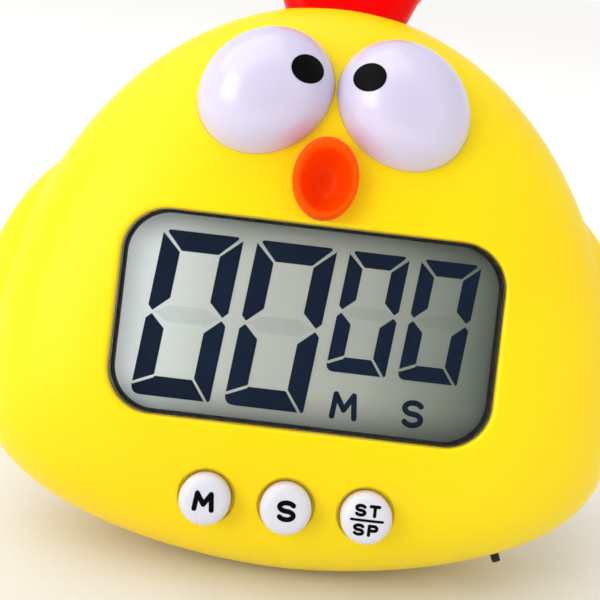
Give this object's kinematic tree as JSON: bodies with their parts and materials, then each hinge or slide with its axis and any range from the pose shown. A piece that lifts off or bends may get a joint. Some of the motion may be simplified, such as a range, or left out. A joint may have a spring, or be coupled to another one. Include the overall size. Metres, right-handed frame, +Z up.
{
  "type": "digital kitchen timer",
  "caption": "Chick-shaped digital countdown timer with a wide liquid crystal screen, push buttons, a back battery bay, magnets and a fold-out stand.",
  "frame": {"origin": "middle of the small flat under the rear shell that the timer stands on", "axes": "+Z up from the surface it stands on, the face looks towards -Y and 20 degrees up, +X is to the right of somebody reading the screen"},
  "size_m": [0.0896, 0.0431, 0.0852],
  "materials": {
    "yellow_shell": "moulded ABS, satin gloss",
    "red_comb": "moulded ABS, gloss",
    "white_eye": "moulded ABS, high gloss",
    "orange_beak": "moulded ABS, gloss",
    "clear_lens": "polished clear acrylic",
    "black_gasket": "black foam ring, matt",
    "lcd_glass": "glass with a grey polariser",
    "lcd_reflector": "reflective film",
    "white_holder": "moulded, matt",
    "zebra_rubber": "layered silicone strip",
    "board_laminate": "green solder mask",
    "black_epoxy": "cast epoxy",
    "bright_steel": "nickel-plated steel",
    "capacitor_sleeve": "shrink sleeve",
    "white_button": "moulded ABS, satin gloss",
    "black_switch": "moulded, matt",
    "red_stem": "moulded, matt",
    "brass_disc": "rolled sheet",
    "buzzer_ceramic": "fired, silvered",
    "black_knob": "moulded, matt",
    "cell_sleeve": "printed sleeve over a steel can",
    "magnet": "sintered ferrite, ground",
    "red_wire": "PVC sleeve",
    "black_wire": "PVC sleeve"
  },
  "bodies": {
    "timer": {"front_shell": "yellow_shell", "rear_shell": "yellow_shell", "comb": "red_comb", "eye_left": "white_eye", "eye_right": "white_eye", "beak": "orange_beak", "screen_lens": "clear_lens", "screen_gasket": "black_gasket", "lcd_front_glass": "lcd_glass", "lcd_rear_glass": "lcd_glass", "lcd_reflector": "lcd_reflector", "lcd_holder": "white_holder", "zebra_strip": "zebra_rubber", "circuit_board": "board_laminate", "chip_blob": "black_epoxy", "quartz_crystal": "bright_steel", "capacitor": "capacitor_sleeve", "minute_switch_base": "black_switch", "second_switch_base": "black_switch", "start_stop_switch_base": "black_switch", "buzzer_disc": "brass_disc", "buzzer_ceramic": "buzzer_ceramic", "slide_switch_frame": "bright_steel", "battery_cell": "cell_sleeve", "battery_spring": "bright_steel", "battery_contact": "bright_steel", "magnet_left": "magnet", "magnet_right": "magnet", "battery_wire_red": "red_wire", "buzzer_wire_red": "red_wire", "battery_wire_black": "black_wire", "buzzer_wire_black": "black_wire", "case_screw_1": "bright_steel", "board_screw_1": "bright_steel", "case_screw_2": "bright_steel", "board_screw_2": "bright_steel", "case_screw_3": "bright_steel", "board_screw_3": "bright_steel", "case_screw_4": "bright_steel", "board_screw_4": "bright_steel"},
    "minute_button": {"minute_button": "white_button", "minute_switch_stem": "red_stem"},
    "second_button": {"second_button": "white_button", "second_switch_stem": "red_stem"},
    "start_stop_button": {"start_stop_button": "white_button", "start_stop_switch_stem": "red_stem"},
    "slide_switch": {"slide_switch_knob": "black_knob"},
    "stand": {"stand": "yellow_shell"},
    "battery_door": {"battery_door": "yellow_shell"}
  },
  "joints": [
    {"name": "minute_press", "type": "slide", "parent": "timer", "child": "minute_button", "axis": [0, 0.9397, -0.342], "range_m": [0, 0.0006], "stiffness_N_per_m": 800, "springref_m": -0.0002},
    {"name": "second_press", "type": "slide", "parent": "timer", "child": "second_button", "axis": [0, 0.9397, -0.342], "range_m": [0, 0.0006], "stiffness_N_per_m": 800, "springref_m": -0.0002},
    {"name": "start_stop_press", "type": "slide", "parent": "timer", "child": "start_stop_button", "axis": [0, 0.9397, -0.342], "range_m": [0, 0.0006], "stiffness_N_per_m": 800, "springref_m": -0.0002},
    {"name": "mode_slide", "type": "slide", "parent": "timer", "child": "slide_switch", "axis": [-0.9244, -0.1304, -0.3584], "range_m": [0, 0.002]},
    {"name": "stand_hinge", "type": "hinge", "parent": "timer", "child": "stand", "pos_m": [0, 0.0157, 0.03405], "axis": [1, 0, 0], "range_deg": [-28, 0]},
    {"name": "battery_door_hinge", "type": "hinge", "parent": "timer", "child": "battery_door", "pos_m": [0, 0.01962, 0.04087], "axis": [-1, 0, 0], "range_deg": [0, 60]}
  ]
}
